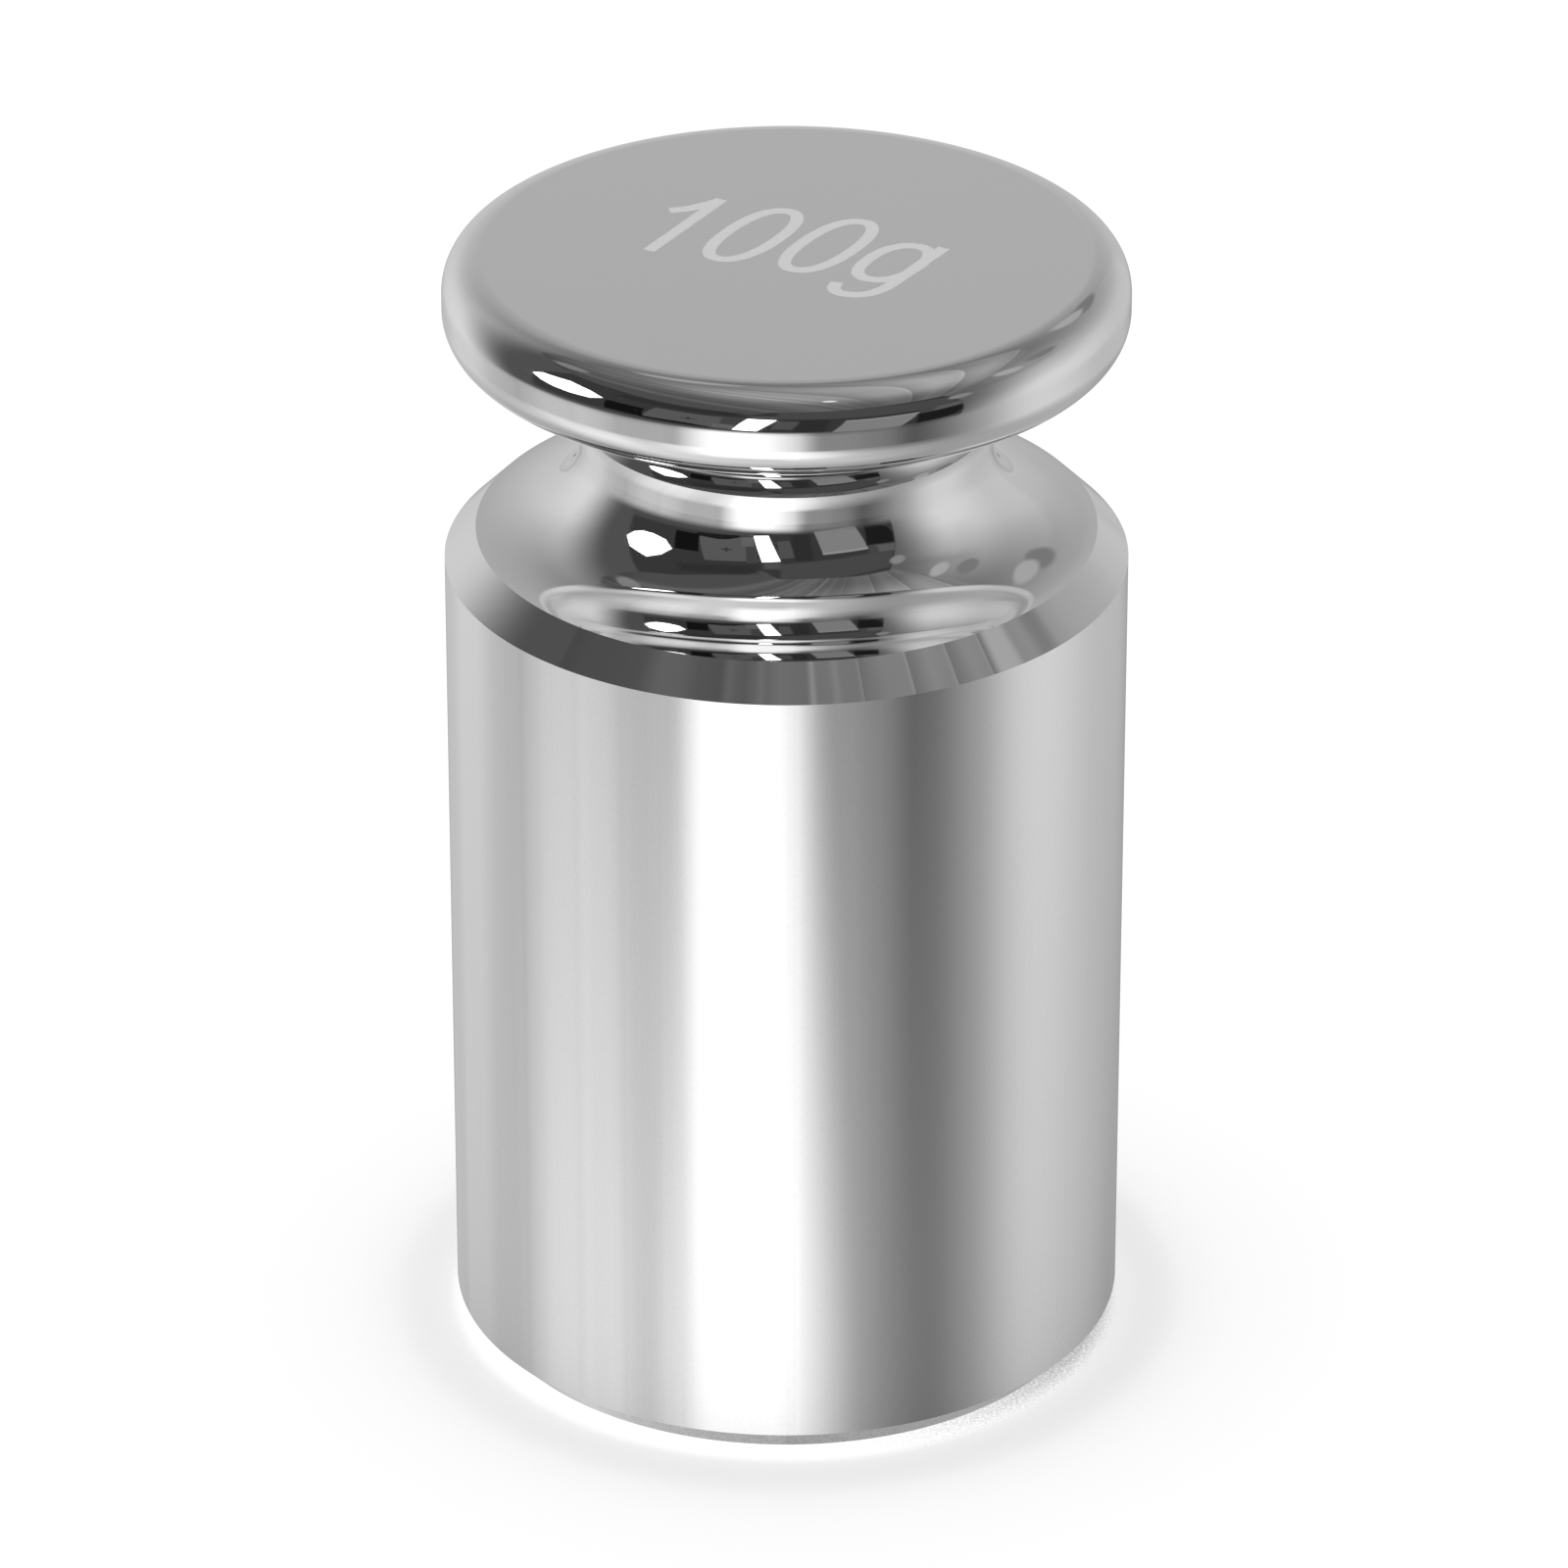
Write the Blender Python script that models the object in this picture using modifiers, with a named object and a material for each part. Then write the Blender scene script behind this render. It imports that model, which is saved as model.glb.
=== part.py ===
"""Calibration weight of 100 g, turned in one piece from stainless steel.

The weight is a plain cylinder with a chamfered foot and shoulder. Above the
shoulder a waisted neck is turned in for the fork or the fingers that lift it,
and the neck opens into a flat head with a rounded rim. Neck and head are one
run of tangent arcs, so no edge catches dirt or a lifting fork.

Units are metres and +Z is up. The origin is the centre of the flat foot.
"""

import math

import bpy

# Driving dimensions of the body, in metres.
BODY_DIAMETER = 0.0220
SHOULDER_HEIGHT = 0.02856
FOOT_CHAMFER = 0.00091
SHOULDER_CHAMFER = 0.00107

# Driving dimensions of the neck: the lifting groove between shoulder and head.
NECK_DIAMETER = 0.01313
GROOVE_HEIGHT = 0.00630
LOWER_COVE_RADIUS = 0.00297
UPPER_COVE_RADIUS = 0.00298

# Driving dimensions of the head.
HEAD_DIAMETER = 0.02191
HEAD_RIM_BAND = 0.00054
HEAD_UNDER_ROUNDING = 0.00136
HEAD_TOP_ROUNDING = 0.00127

# Fineness of the turned surface.
TURN_STEPS = 96
COVE_SEGMENTS = 10
ROUNDING_SEGMENTS = 6
MERGE_DISTANCE = 0.000001
SHARP_EDGE_ANGLE = math.radians(25.0)

# Polished stainless steel.
STEEL_COLOUR = (0.90, 0.90, 0.90, 1.0)
STEEL_ROUGHNESS = 0.06
STEEL_METALLIC = 1.0

COLLECTION_NAME = "calibration_weight"
NODE_NAME = "weight_body"


def clear_scene():
    """Remove every object that the file starts with."""
    for item in list(bpy.data.objects):
        bpy.data.objects.remove(item, do_unlink=True)


def make_collection(name):
    """Link a new collection for the part under the scene's own."""
    collection = bpy.data.collections.new(name)
    bpy.context.scene.collection.children.link(collection)
    return collection


def polished_steel():
    """Return the one material of the weight."""
    material = bpy.data.materials.new("polished_stainless_steel")
    material.use_nodes = True
    shader = material.node_tree.nodes["Principled BSDF"]
    shader.inputs["Base Color"].default_value = STEEL_COLOUR
    shader.inputs["Roughness"].default_value = STEEL_ROUGHNESS
    shader.inputs["Metallic"].default_value = STEEL_METALLIC
    material.diffuse_color = STEEL_COLOUR
    return material


def arc(centre, radius, start_degrees, end_degrees, segments):
    """Return the points of an arc in the (radius, height) plane, ends included.

    Angles are measured from the outward radius towards +Z.
    """
    points = []
    for index in range(segments + 1):
        share = index / segments
        angle = math.radians(start_degrees + (end_degrees - start_degrees) * share)
        points.append((
            centre[0] + radius * math.cos(angle),
            centre[1] + radius * math.sin(angle),
        ))
    return points


def cove_radii():
    """Return the lower and upper cove radii, each held inside its own wall.

    The lower cove ends on the shoulder's flat, the upper one under the head,
    and together they are no taller than the groove.
    """
    neck_radius = NECK_DIAMETER / 2
    shoulder_width = BODY_DIAMETER / 2 - SHOULDER_CHAMFER - neck_radius
    underside_width = HEAD_DIAMETER / 2 - HEAD_UNDER_ROUNDING - neck_radius
    lower = min(LOWER_COVE_RADIUS, shoulder_width)
    upper = min(UPPER_COVE_RADIUS, underside_width, GROOVE_HEIGHT - lower)
    return lower, upper


def head_outline():
    """Return the head's outline: flat top, rounded rim, rounded underside."""
    head_radius = HEAD_DIAMETER / 2
    underside = SHOULDER_HEIGHT + GROOVE_HEIGHT
    rim_low = underside + HEAD_UNDER_ROUNDING
    rim_high = rim_low + HEAD_RIM_BAND
    top = rim_high + HEAD_TOP_ROUNDING
    points = [(0.0, top)]
    points += arc((head_radius - HEAD_TOP_ROUNDING, rim_high),
                  HEAD_TOP_ROUNDING, 90.0, 0.0, ROUNDING_SEGMENTS)
    points += arc((head_radius - HEAD_UNDER_ROUNDING, rim_low),
                  HEAD_UNDER_ROUNDING, 0.0, -90.0, ROUNDING_SEGMENTS)
    return points


def neck_outline():
    """Return the neck's outline: a cove, a short straight waist, a cove."""
    lower_cove, upper_cove = cove_radii()
    neck_radius = NECK_DIAMETER / 2
    underside = SHOULDER_HEIGHT + GROOVE_HEIGHT
    points = arc((neck_radius + upper_cove, underside - upper_cove),
                 upper_cove, 90.0, 180.0, COVE_SEGMENTS)
    points += arc((neck_radius + lower_cove, SHOULDER_HEIGHT + lower_cove),
                  lower_cove, 180.0, 270.0, COVE_SEGMENTS)
    return points


def body_outline():
    """Return the body's outline, from the shoulder's flat to the foot's centre."""
    body_radius = BODY_DIAMETER / 2
    return [
        (body_radius - SHOULDER_CHAMFER, SHOULDER_HEIGHT),
        (body_radius, SHOULDER_HEIGHT - SHOULDER_CHAMFER),
        (body_radius, FOOT_CHAMFER),
        (body_radius - FOOT_CHAMFER, 0.0),
        (0.0, 0.0),
    ]


def without_repeats(points):
    """Drop each point that lies on the one before it, as where two arcs meet."""
    kept = [points[0]]
    for point in points[1:]:
        if math.dist(point, kept[-1]) > 2 * MERGE_DISTANCE:
            kept.append(point)
    return kept


def turned_solid(name, outline, material, collection):
    """Turn an outline round the Z axis into one closed solid.

    The outline runs down the outer side, from the axis to the axis.
    """
    mesh = bpy.data.meshes.new(name)
    vertices = [(radius, 0.0, height) for radius, height in outline]
    edges = [(index, index + 1) for index in range(len(vertices) - 1)]
    mesh.from_pydata(vertices, edges, [])
    solid = bpy.data.objects.new(name, mesh)
    solid.data.materials.append(material)
    collection.objects.link(solid)

    screw = solid.modifiers.new("turn", "SCREW")
    screw.axis = "Z"
    screw.angle = math.tau
    screw.steps = TURN_STEPS
    screw.render_steps = TURN_STEPS
    screw.use_merge_vertices = True
    screw.merge_threshold = MERGE_DISTANCE
    screw.use_smooth_shade = True

    weld = solid.modifiers.new("close_centres", "WELD")
    weld.merge_threshold = MERGE_DISTANCE
    return solid


def shade_turned(solid):
    """Bake the turned form and shade it smooth, with crisp chamfer edges."""
    graph = bpy.context.evaluated_depsgraph_get()
    mesh = bpy.data.meshes.new_from_object(solid.evaluated_get(graph))
    mesh.name = solid.name
    solid.modifiers.clear()
    solid.data = mesh
    mesh.shade_smooth()
    mesh.set_sharp_from_angle(angle=SHARP_EDGE_ANGLE)


def main():
    """Build the weight."""
    clear_scene()
    collection = make_collection(COLLECTION_NAME)
    outline = without_repeats(head_outline() + neck_outline() + body_outline())
    weight = turned_solid(NODE_NAME, outline, polished_steel(), collection)
    shade_turned(weight)


if __name__ == "__main__":
    main()
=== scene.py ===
"""Looks of a 100 g calibration weight, turned in one piece from stainless steel.

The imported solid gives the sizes. This script turns a finer outline of the same
weight, engraves the nominal mass in the flat top of the head, dresses both in
polished and etched steel, and stands the weight on a white floor in a studio.

Everything is in metres, with +Z up and the origin in the centre of the foot.
Directions in the studio are in degrees: azimuth from the front towards +X, and
elevation above the horizon. Levels run from 0 to 255, as a screen shows them.
"""

import logging
import math
from dataclasses import dataclass, field
from enum import Enum
from functools import partialmethod
from itertools import accumulate

import bmesh
import bpy
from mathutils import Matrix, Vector


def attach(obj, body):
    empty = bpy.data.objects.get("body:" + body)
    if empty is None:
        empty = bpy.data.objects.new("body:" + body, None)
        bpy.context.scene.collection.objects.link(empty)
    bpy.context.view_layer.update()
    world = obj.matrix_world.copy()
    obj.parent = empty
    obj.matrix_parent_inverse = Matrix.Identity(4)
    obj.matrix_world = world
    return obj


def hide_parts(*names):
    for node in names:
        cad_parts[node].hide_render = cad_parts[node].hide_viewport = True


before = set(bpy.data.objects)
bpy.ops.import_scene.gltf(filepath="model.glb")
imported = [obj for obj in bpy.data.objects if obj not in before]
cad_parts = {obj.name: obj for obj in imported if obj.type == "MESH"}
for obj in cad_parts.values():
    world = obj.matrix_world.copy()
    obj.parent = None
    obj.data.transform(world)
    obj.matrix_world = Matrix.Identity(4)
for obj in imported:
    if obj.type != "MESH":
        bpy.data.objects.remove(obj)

LOG = logging.getLogger("calibration_weight")
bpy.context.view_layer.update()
MM = 0.001

Point = tuple[float, float]
Stops = tuple[Point, ...]
Lines = tuple[tuple[float, float, float], ...]
Colour = tuple[float, float, float, float]


def display_to_linear(level: float) -> float:
    """Turn a display level into scene light, where 1 is white, by the sRGB curve."""
    share = level / 255.0
    if share <= 0.04045:
        return share / 12.92
    return ((share + 0.055) / 1.055) ** 2.4


def grey(value: float) -> Colour:
    """Return an opaque neutral colour."""
    return (value, value, value, 1.0)


def linked(name: str, data: bpy.types.ID) -> bpy.types.Object:
    """Return a new object that holds the data, linked to the scene."""
    made = bpy.data.objects.new(name, data)
    bpy.context.scene.collection.objects.link(made)
    return made


def plain_mesh(name: str, mesh: bmesh.types.BMesh) -> bpy.types.Mesh:
    """Return an edited mesh as plain mesh data, and free it."""
    data = bpy.data.meshes.new(name)
    mesh.to_mesh(data)
    mesh.free()
    return data


# Node maths.


class Field:
    """A socket in a node tree that Python's operators work on."""

    def __init__(self, bench: "Bench", socket: bpy.types.NodeSocket) -> None:
        """Keep the bench that adds nodes and the socket that holds the value."""
        self.bench = bench
        self.socket = socket

    def math(self, operation: str, *others: "Field | float") -> "Field":
        """Work one Math operation on this value and the others, in order."""
        sockets = dict(enumerate((self, *others)))
        return self.bench.field("ShaderNodeMath", sockets, operation=operation)

    __add__ = __radd__ = partialmethod(math, "ADD")
    __sub__ = partialmethod(math, "SUBTRACT")
    __mul__ = __rmul__ = partialmethod(math, "MULTIPLY")
    __truediv__ = partialmethod(math, "DIVIDE")
    minimum = partialmethod(math, "MINIMUM")
    maximum = partialmethod(math, "MAXIMUM")

    def __rsub__(self, other: float) -> "Field":
        """Return other - self."""
        return self.scaled(-1.0, other)

    def named(self, label: str) -> "Field":
        """Label the node that gives the value, and return the value."""
        self.socket.node.label = label
        return self

    def scaled(self, factor: float, offset: "Field | float") -> "Field":
        """Return self * factor + offset in one node."""
        return self.math("MULTIPLY_ADD", factor, offset)

    def past(self, start: float, run: float) -> "Field":
        """Return how far the value is past a start, counted in runs."""
        return self.scaled(1.0 / run, -start / run)

    def clamped(self) -> "Field":
        """Hold the value between 0 and 1."""
        return self.minimum(1.0).maximum(0.0)

    def eased(self) -> "Field":
        """Hold the value between 0 and 1, with soft ends."""
        held = self.clamped()
        return held * held * held.scaled(-2.0, 3.0)

    def edge(self, place: float, soft: float) -> "Field":
        """Return a soft step up at a place, or down if its width is negative."""
        return self.past(place - soft / 2, soft).eased()

    def line(self, place: float, width: float) -> "Field":
        """Return 1 at a place, and 0 from one width beside it."""
        return (1.0 - self.past(place, width).math("ABSOLUTE")).eased()

    def towards(self, other: "Field | float", mask: "Field") -> "Field":
        """Blend this value into another one where the mask is 1."""
        return (self * -1.0 + other) * mask + self


class Bench:
    """Adds nodes to one tree."""

    def __init__(self, tree: bpy.types.NodeTree) -> None:
        """Empty the tree and keep it."""
        self.tree = tree
        tree.nodes.clear()

    def node(self, kind: str, sockets: dict | None = None,
             **settings: object) -> bpy.types.Node:
        """Add one node.

        Args:
            kind: The node's type name.
            sockets: Its input sockets, by name or number, each a value or a link.
            settings: Its own settings, set before its sockets. "stops" holds a
                ramp's stops as (position, value) pairs.

        Returns:
            The new node.
        """
        made = self.tree.nodes.new(kind)
        for name, setting in settings.items():
            if name == "stops":
                self._set_stops(made.color_ramp, setting)
            else:
                setattr(made, name, setting)
        for key, value in (sockets or {}).items():
            if isinstance(value, Field):
                self.tree.links.new(value.socket, made.inputs[key])
            else:
                made.inputs[key].default_value = value
        return made

    @staticmethod
    def _set_stops(ramp: bpy.types.ColorRamp, stops: list[Point]) -> None:
        """Give a ramp its stops, each a position and a grey value."""
        while len(ramp.elements) < len(stops):
            ramp.elements.new(1.0)
        for element, (position, value) in zip(ramp.elements, stops):
            element.position = position
            element.color = grey(value)

    def field(self, kind: str, sockets: dict | None = None, output: str | int = 0,
              **settings: object) -> Field:
        """Add one node as node() does, and return one of its outputs."""
        return Field(self, self.node(kind, sockets, **settings).outputs[output])

    def parts(self, vector: Field) -> tuple[Field, Field, Field]:
        """Return the x, y and z of a vector."""
        split = self.node("ShaderNodeSeparateXYZ", {0: vector})
        return tuple(Field(self, split.outputs[axis]) for axis in range(3))

    def place(self) -> Field:
        """Return the Object coordinates, in metres."""
        return self.field("ShaderNodeTexCoord", output="Object")

    def noise(self, across: float, up: float, detail: float,
              roughness: float = 0.5) -> Field:
        """Return 3-D noise on Object coordinates.

        Args:
            across: Cells for each metre along x and y.
            up: Cells for each metre along z.
            detail: Octaves of finer noise.
            roughness: Strength of each finer octave.

        Returns:
            The noise, about 0 on average.
        """
        sized = self.field("ShaderNodeMapping", {
            "Vector": self.place(), "Scale": (across, across, up)})
        return self.field("ShaderNodeTexNoise", {
            "Vector": sized, "Scale": 1.0, "Detail": detail,
            "Roughness": roughness}, "Fac", noise_dimensions="3D") - 0.5

    def line_noise(self, along: Field, detail: float, roughness: float) -> Field:
        """Return 1-D noise, about 0 on average, whose cells are one unit long."""
        return self.field("ShaderNodeTexNoise", {
            "W": along, "Scale": 1.0, "Detail": detail,
            "Roughness": roughness}, "Fac", noise_dimensions="1D") - 0.5

    def ramp(self, value: Field, stops: Stops) -> Field:
        """Return a level that runs straight from stop to stop along a value."""
        first, run = stops[0][0], stops[-1][0] - stops[0][0]
        shares = [((at - first) / run, level) for at, level in stops]
        return self.field("ShaderNodeValToRGB", {0: value.past(first, run)},
                          stops=shares)

    def shown(self) -> Field:
        """Return 1 for what the camera or a mirror sees, and 0 for other light."""
        path = self.node("ShaderNodeLightPath")
        camera, glossy, through = (Field(self, path.outputs[f"Is {kind} Ray"])
                                   for kind in ("Camera", "Glossy", "Transmission"))
        return camera.maximum(glossy).maximum(through)

    def neutral(self, shade: Field) -> Field:
        """Return a grey colour of a shade that varies."""
        return self.field("ShaderNodeCombineColor", {0: shade, 1: shade, 2: shade})

    def metal(self, shade: Field, metallic: float, roughness: Field,
              relief: tuple[Field, float]) -> None:
        """End a material's tree in a metal surface.

        Args:
            shade: Its grey base colour.
            metallic: How metallic it is.
            roughness: Its roughness.
            relief: Its height in metres, and the strength of the bump.
        """
        bump = self.field("ShaderNodeBump", {
            "Strength": relief[1], "Distance": 1.0, "Height": relief[0]})
        shader = self.field("ShaderNodeBsdfPrincipled", {
            "Base Color": self.neutral(shade), "Metallic": metallic,
            "Roughness": roughness, "Normal": bump})
        self.node("ShaderNodeOutputMaterial", {"Surface": shader})


def new_material(name: str) -> tuple[bpy.types.Material, Bench]:
    """Return a new material and the bench of its empty tree."""
    made = bpy.data.materials.new(name)
    made.use_nodes = True
    return made, Bench(made.node_tree)


def distance(x: Field, y: Field) -> Field:
    """Return the distance of a point from the origin of its plane."""
    return (x * x + y * y).math("SQRT")


def bearing(x: Field, y: Field) -> Field:
    """Return the azimuth of a point."""
    return x.math("ARCTAN2", y * -1.0) * math.degrees(1.0)


# Finishes.


@dataclass(frozen=True)
class PolishedSteel:
    """Stainless steel, turned and then polished to a mirror."""

    reflectance: float = 0.90
    reflectance_change: float = 0.012
    roughness: float = 0.035
    roughness_change: float = 0.02
    haze_cells: Point = (220.0, 90.0)
    haze_gloss: float = 1.4
    line_gloss: float = 0.5
    ring_pitch: float = 0.07 * MM
    ring_depth: float = 0.000004 * MM
    grain_width: float = 0.11 * MM
    grain_length: float = 6.0 * MM
    grain_depth: float = 0.000010 * MM
    speckle_size: float = 0.085 * MM
    foot_edge: float = 0.905 * MM
    foot_speckle_and_shade: float = 1.1
    foot_painted_shade: float = 0.08
    body_edge: float = 27.45 * MM
    body_speckle: float = 0.07
    painted_shade_height: float = 10.0 * MM
    painted_shade_depth: float = 0.11
    foot_shade: float = 0.13
    foot_shade_power: float = 8.0

    def material(self) -> bpy.types.Material:
        """Return the polished finish as a new material.

        Returns:
            A material with rings left by turning, an upright polishing grain
            and a faint uneven gloss. Its colour is darkened towards the foot and
            on the foot's chamfer: painted shade for the floor's shadow in the polish.
        """
        made, bench = new_material("polished_steel")
        x, y, z = bench.parts(bench.place())
        run = (z - distance(x, y)) * (1.0 / self.ring_pitch)
        rings = bench.line_noise(run, detail=3.0, roughness=0.6)
        grain = bench.noise(1.0 / self.grain_width, 1.0 / self.grain_length, detail=3.0)
        haze = bench.noise(*self.haze_cells, detail=4.0, roughness=0.6)
        cells = 1.0 / self.speckle_size
        speckle = bench.noise(cells, cells, detail=1.0)
        foot = z.math("LESS_THAN", self.foot_edge)
        body = z.math("LESS_THAN", self.body_edge)
        # Painted shade: the colour darkens over the lowest part of the body, and most
        # just above the foot, in place of the shadowed floor that the mirror would
        # show.
        painted_low_shade = z.past(self.painted_shade_height, -self.painted_shade_height).clamped()
        low = painted_low_shade.math("POWER", self.foot_shade_power) * (1.0 - foot)
        shade = (haze + grain) * self.reflectance_change + self.reflectance
        # The foot's chamfer gets random speckle plus a painted shade, standing in for
        # the shadowed floor it reflects.
        shade = shade - foot * (speckle + self.foot_painted_shade) * self.foot_speckle_and_shade
        shade = shade + body * speckle * self.body_speckle
        shade = shade - painted_low_shade * painted_low_shade * self.painted_shade_depth - low * self.foot_shade
        gloss = haze * self.haze_gloss + (rings + grain) * self.line_gloss
        height = rings * self.ring_depth + grain * self.grain_depth
        bench.metal(shade, 1.0, gloss * self.roughness_change + self.roughness,
                    (height, 1.0))
        return made


@dataclass(frozen=True)
class EtchedSteel:
    """The matt floor that fine etching leaves in polished steel."""

    lightness: float = 0.755
    lightness_change: float = 0.06
    metallic: float = 0.3
    roughness: float = 0.5
    roughness_change: float = 0.08
    pit_size: float = 0.03 * MM
    pit_depth: float = 0.002 * MM
    pit_strength: float = 0.5

    def material(self) -> bpy.types.Material:
        """Return the etched finish, with fine, even pits, as a new material."""
        made, bench = new_material("etched_steel")
        cells = 1.0 / self.pit_size
        pits = bench.noise(cells, cells, detail=2.0, roughness=0.6)
        bench.metal(pits * self.lightness_change + self.lightness, self.metallic,
                    pits * self.roughness_change + self.roughness,
                    (pits * self.pit_depth, self.pit_strength))
        return made


# The turned weight.


@dataclass(frozen=True)
class Bend:
    """A quarter turn of the outline, a little fuller or leaner than an ellipse."""

    across: float
    up: float
    power: float = 2.0

    def points(self, centre: Point, sides: Point, count: int) -> list[Point]:
        """Return its points from its upright end to its level end.

        Args:
            centre: The bend's centre in the (radius, height) plane.
            sides: 1 or -1 for outwards or inwards, and for up or down.
            count: How many straight steps it has.

        Returns:
            The points, both ends included.
        """
        points = []
        for index in range(count + 1):
            angle = math.pi / 2 * index / count
            reach = max(math.cos(angle), 0.0) ** (2.0 / self.power)
            rise = math.sin(angle) ** (2.0 / self.power)
            points.append((centre[0] + sides[0] * self.across * reach,
                           centre[1] + sides[1] * self.up * rise))
        return points


@dataclass
class WeightOutline:
    """The outline that the weight is turned to."""

    body_radius: float = 11.0 * MM
    shoulder_height: float = 28.502 * MM
    foot_chamfer: float = 0.91 * MM
    shoulder_chamfer: float = 1.012 * MM
    neck_radius: float = 6.614 * MM
    groove_height: float = 6.386 * MM
    lower_cove: Bend = Bend(3.374 * MM, 3.110 * MM, 2.08)
    upper_cove: Bend = Bend(2.952 * MM, 2.820 * MM, 1.90)
    head_radius: float = 10.955 * MM
    rim_band: float = 0.530 * MM
    under_rounding: Bend = Bend(1.389 * MM, 1.311 * MM, 1.96)
    top_rounding: Bend = Bend(1.299 * MM, 1.301 * MM, 2.04)
    cove_steps: int = 44
    rounding_steps: int = 28
    edge_support: float = 0.015 * MM
    closest: float = 0.005 * MM

    def levels(self) -> list[float]:
        """Return the heights of shoulder, underside, rim's two edges and top."""
        rises = (self.groove_height, self.under_rounding.up, self.rim_band,
                 self.top_rounding.up)
        return list(accumulate(rises, initial=self.shoulder_height))

    def head(self) -> list[Point]:
        """Return the head's points, from the flat top down to the underside."""
        support = self.edge_support
        rim_low, rim_high, top = self.levels()[2:]
        upper = (self.head_radius - self.top_rounding.across, rim_high)
        lower = (self.head_radius - self.under_rounding.across, rim_low)
        return [
            (upper[0] - support, top),
            *reversed(self.top_rounding.points(upper, (1, 1), self.rounding_steps)),
            (self.head_radius, rim_high - support),
            (self.head_radius, rim_low + support),
            *self.under_rounding.points(lower, (1, -1), self.rounding_steps),
        ]

    def neck(self) -> list[Point]:
        """Return the neck's points: a cove, a short straight waist, a cove."""
        support = self.edge_support
        upper = (self.neck_radius + self.upper_cove.across,
                 self.levels()[1] - self.upper_cove.up)
        lower = (self.neck_radius + self.lower_cove.across,
                 self.shoulder_height + self.lower_cove.up)
        points = [
            *reversed(self.upper_cove.points(upper, (-1, 1), self.cove_steps)),
            (self.neck_radius, upper[1] - support),
            (self.neck_radius, lower[1] + support),
            *self.lower_cove.points(lower, (-1, -1), self.cove_steps),
        ]
        points.insert(-1, (lower[0] - support, self.shoulder_height))
        return points

    def body(self) -> list[Point]:
        """Return the body's points, from the shoulder's edge to the foot's flat."""
        return [
            (self.body_radius - self.shoulder_chamfer, self.shoulder_height),
            (self.body_radius, self.shoulder_height - self.shoulder_chamfer),
            (self.body_radius, self.foot_chamfer),
            (self.body_radius - self.foot_chamfer, 0.0),
        ]

    def points(self) -> list[Point]:
        """Return the outline from flat top to flat foot, without repeats."""
        kept = []
        for point in self.head() + self.neck() + self.body():
            if not kept or math.dist(point, kept[-1]) > self.closest:
                kept.append(point)
        return kept


class Stroke(Enum):
    """How a stroke of the lettering ends."""

    OPEN = "open"
    CLOSED = "closed"


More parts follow.
